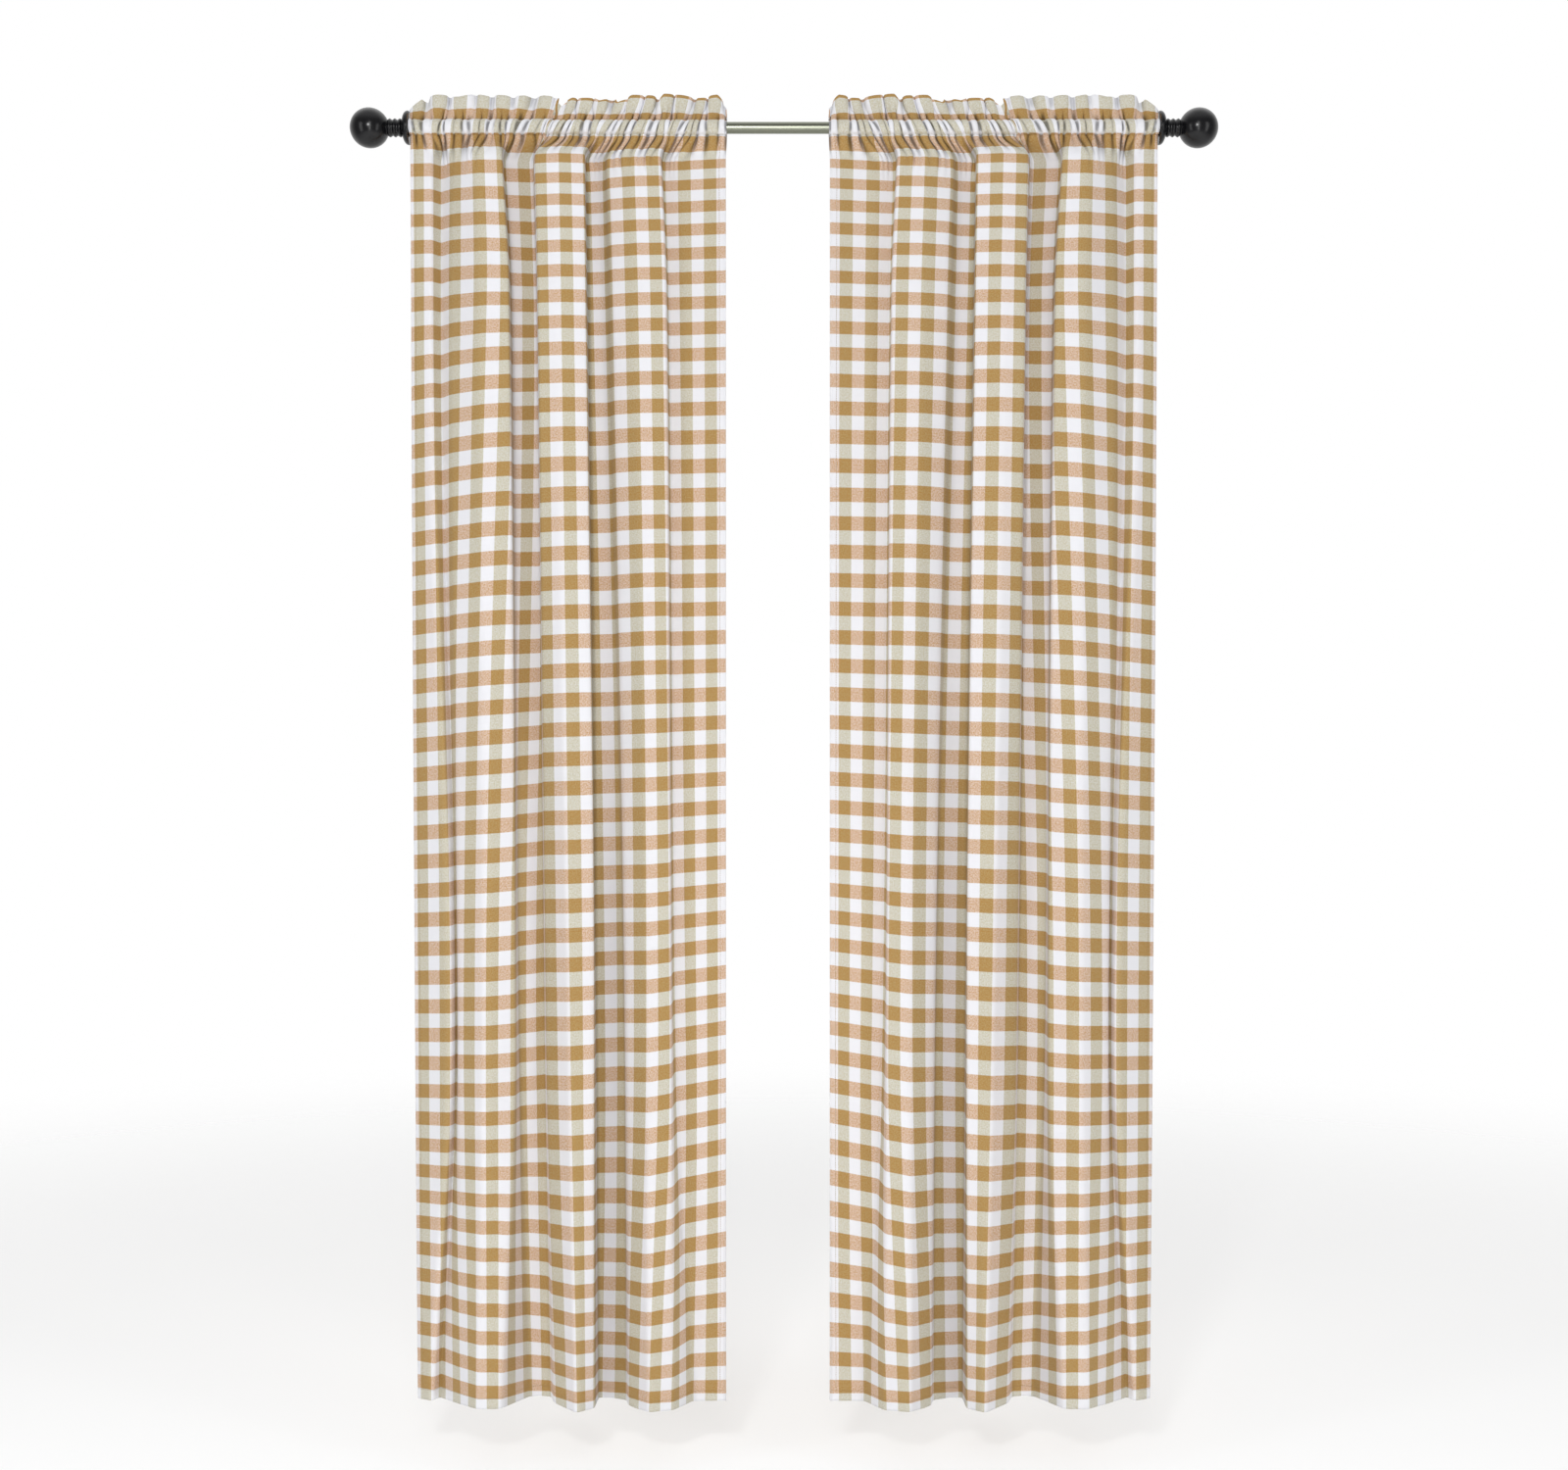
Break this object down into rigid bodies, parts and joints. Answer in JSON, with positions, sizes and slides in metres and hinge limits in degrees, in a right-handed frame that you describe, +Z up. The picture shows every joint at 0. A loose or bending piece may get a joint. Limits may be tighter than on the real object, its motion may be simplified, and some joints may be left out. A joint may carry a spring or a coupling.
{
  "type": "pair of rod pocket curtain panels on a curtain rod with ball finials",
  "caption": "Two gathered check curtain panels with a ruffled rod pocket heading, hanging in soft folds from a round metal rod with ball finials.",
  "frame": {"origin": "on the rod's axis, midway between the finials, where the wall's brackets carry the rod", "axes": "+Z up, against the way the cloth hangs; +X along the rod to the right as seen from the room; -Y towards the room"},
  "size_m": [1.417, 0.0702, 2.137],
  "materials": {
    "rod_metal": "brushed nickel",
    "finial_metal": "satin black",
    "check_cloth": "plain woven cotton, yarn dyed check in white, sage grey and gold brown"
  },
  "bodies": {
    "root": {"rod": "rod_metal", "finial_left": "finial_metal", "finial_right": "finial_metal", "panel_left": "check_cloth", "panel_right": "check_cloth"}
  },
  "joints": []
}
